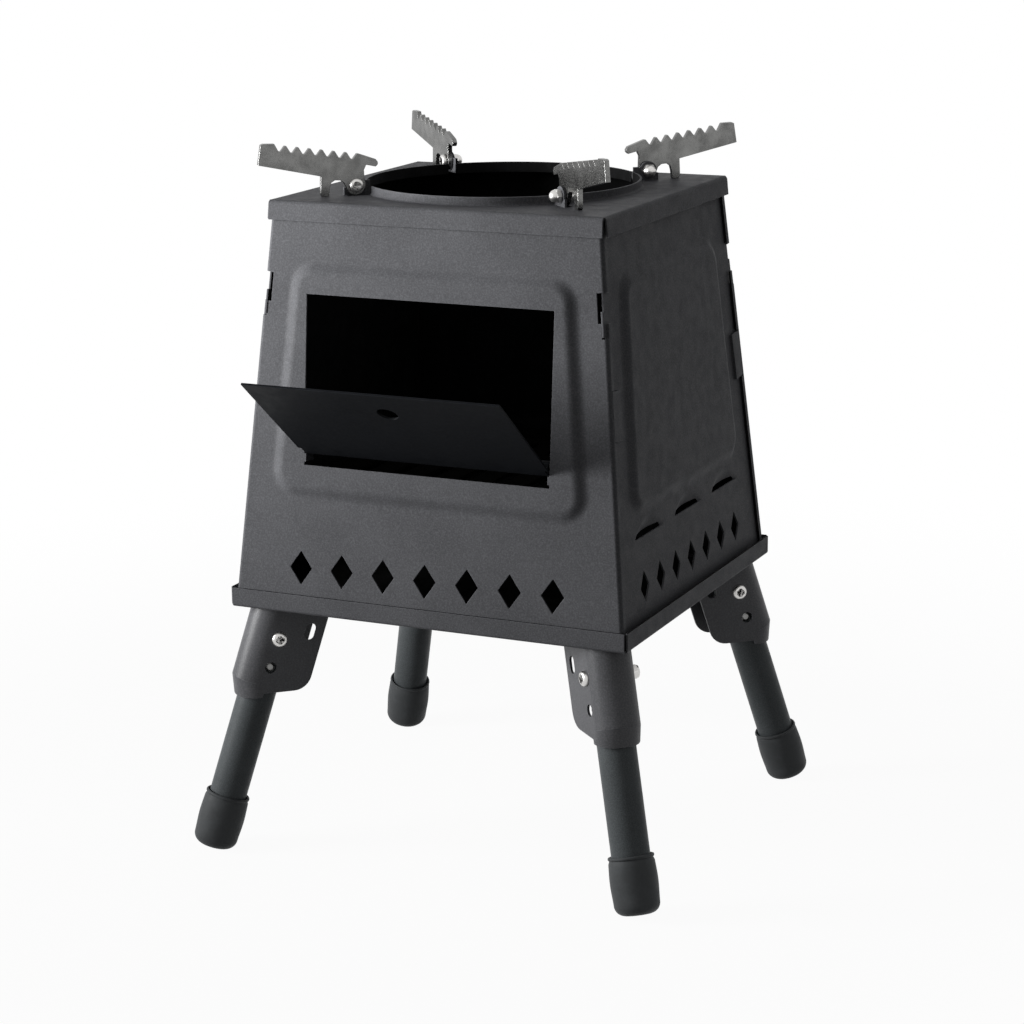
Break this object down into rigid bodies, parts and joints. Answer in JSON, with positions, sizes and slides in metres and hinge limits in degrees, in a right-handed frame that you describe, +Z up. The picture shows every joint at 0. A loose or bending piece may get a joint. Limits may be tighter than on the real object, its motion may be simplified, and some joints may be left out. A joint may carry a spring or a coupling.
{
  "type": "tent wood stove",
  "caption": "Folding sheet-steel tent wood stove with a drop-down feed door, pot hole, folding pot supports and folding legs.",
  "frame": {"origin": "on the ground under the middle of the base tray, with the legs open", "axes": "+Z up, -Y out of the feed door, +X to the right of someone who faces the door"},
  "size_m": [0.2956, 0.3134, 0.4159],
  "materials": {
    "stove_coating": "fine-grained matt black heat-proof coating on sheet steel",
    "door_coating": "smooth satin black heat-proof coating",
    "tube_coating": "smooth matt black coating",
    "foot_rubber": "matt black rubber",
    "support_steel": "grey blasted steel with a fine grain",
    "plated_fasteners": "bright plated steel",
    "button_steel": "plain bright steel",
    "spring_steel": "plain spring steel",
    "grate_steel": "dark heat-stained steel",
    "rod_steel": "plain steel wire",
    "rivet_coating": "black coated steel"
  },
  "bodies": {
    "stove_body": {"base_tray": "stove_coating", "front_panel": "stove_coating", "back_panel": "stove_coating", "left_panel": "stove_coating", "right_panel": "stove_coating", "top_plate": "stove_coating", "fire_grate": "grate_steel", "door_hinge_rod": "rod_steel", "bracket_rivets": "rivet_coating", "leg_pivot_screws": "plated_fasteners", "leg_pivot_nuts": "plated_fasteners", "pot_support_screws": "plated_fasteners", "pot_support_nuts": "plated_fasteners", "leg_bracket_front_left": "stove_coating", "leg_bracket_front_right": "stove_coating", "leg_bracket_back_left": "stove_coating", "leg_bracket_back_right": "stove_coating"},
    "feed_door": {"feed_door": "door_coating"},
    "leg_front_left": {"leg_tube_front_left": "tube_coating", "foot_front_left": "foot_rubber", "button_spring_front_left": "spring_steel"},
    "lock_button_front_left": {"lock_button_front_left": "button_steel"},
    "leg_front_right": {"leg_tube_front_right": "tube_coating", "foot_front_right": "foot_rubber", "button_spring_front_right": "spring_steel"},
    "lock_button_front_right": {"lock_button_front_right": "button_steel"},
    "leg_back_left": {"leg_tube_back_left": "tube_coating", "foot_back_left": "foot_rubber", "button_spring_back_left": "spring_steel"},
    "lock_button_back_left": {"lock_button_back_left": "button_steel"},
    "leg_back_right": {"leg_tube_back_right": "tube_coating", "foot_back_right": "foot_rubber", "button_spring_back_right": "spring_steel"},
    "lock_button_back_right": {"lock_button_back_right": "button_steel"},
    "pot_support_front_left": {"pot_support_front_left": "support_steel"},
    "pot_support_front_right": {"pot_support_front_right": "support_steel"},
    "pot_support_back_left": {"pot_support_back_left": "support_steel"},
    "pot_support_back_right": {"pot_support_back_right": "support_steel"}
  },
  "joints": [
    {"name": "feed_door_hinge", "type": "hinge", "parent": "stove_body", "child": "feed_door", "pos_m": [0, -0.10296, 0.24677], "axis": [-1, 0, 0], "range_deg": [0, 57]},
    {"name": "leg_fold_front_left", "type": "hinge", "parent": "stove_body", "child": "leg_front_left", "pos_m": [-0.10631, -0.09865, 0.129], "axis": [0.6802, -0.733, 0], "range_deg": [0, 109.9]},
    {"name": "lock_press_front_left", "type": "slide", "parent": "leg_front_left", "child": "lock_button_front_left", "axis": [-0.6802, 0.733, 0], "range_m": [0, 0.002], "stiffness_N_per_m": 800, "springref_m": -0.002, "deforming": ["button_spring_front_left"]},
    {"name": "leg_fold_front_right", "type": "hinge", "parent": "stove_body", "child": "leg_front_right", "pos_m": [0.10631, -0.09865, 0.129], "axis": [0.6802, 0.733, 0], "range_deg": [0, 109.9]},
    {"name": "lock_press_front_right", "type": "slide", "parent": "leg_front_right", "child": "lock_button_front_right", "axis": [0.6802, 0.733, 0], "range_m": [0, 0.002], "stiffness_N_per_m": 800, "springref_m": -0.002, "deforming": ["button_spring_front_right"]},
    {"name": "leg_fold_back_left", "type": "hinge", "parent": "stove_body", "child": "leg_back_left", "pos_m": [-0.10631, 0.09865, 0.129], "axis": [-0.6802, -0.733, 0], "range_deg": [0, 109.9]},
    {"name": "lock_press_back_left", "type": "slide", "parent": "leg_back_left", "child": "lock_button_back_left", "axis": [0.6802, 0.733, 0], "range_m": [0, 0.002], "stiffness_N_per_m": 800, "springref_m": -0.002, "deforming": ["button_spring_back_left"]},
    {"name": "leg_fold_back_right", "type": "hinge", "parent": "stove_body", "child": "leg_back_right", "pos_m": [0.10631, 0.09865, 0.129], "axis": [-0.6802, 0.733, 0], "range_deg": [0, 109.9]},
    {"name": "lock_press_back_right", "type": "slide", "parent": "leg_back_right", "child": "lock_button_back_right", "axis": [-0.6802, 0.733, 0], "range_m": [0, 0.002], "stiffness_N_per_m": 800, "springref_m": -0.002, "deforming": ["button_spring_back_right"]},
    {"name": "support_fold_front_left", "type": "hinge", "parent": "stove_body", "child": "pot_support_front_left", "pos_m": [-0.06547, -0.05985, 0.3901], "axis": [-0.6747, 0.7381, 0], "range_deg": [0, 165]},
    {"name": "support_fold_front_right", "type": "hinge", "parent": "stove_body", "child": "pot_support_front_right", "pos_m": [0.06547, -0.05985, 0.3901], "axis": [-0.6747, -0.7381, 0], "range_deg": [0, 165]},
    {"name": "support_fold_back_left", "type": "hinge", "parent": "stove_body", "child": "pot_support_back_left", "pos_m": [-0.06547, 0.05985, 0.3901], "axis": [0.6747, 0.7381, 0], "range_deg": [0, 165]},
    {"name": "support_fold_back_right", "type": "hinge", "parent": "stove_body", "child": "pot_support_back_right", "pos_m": [0.06547, 0.05985, 0.3901], "axis": [0.6747, -0.7381, 0], "range_deg": [0, 165]}
  ]
}
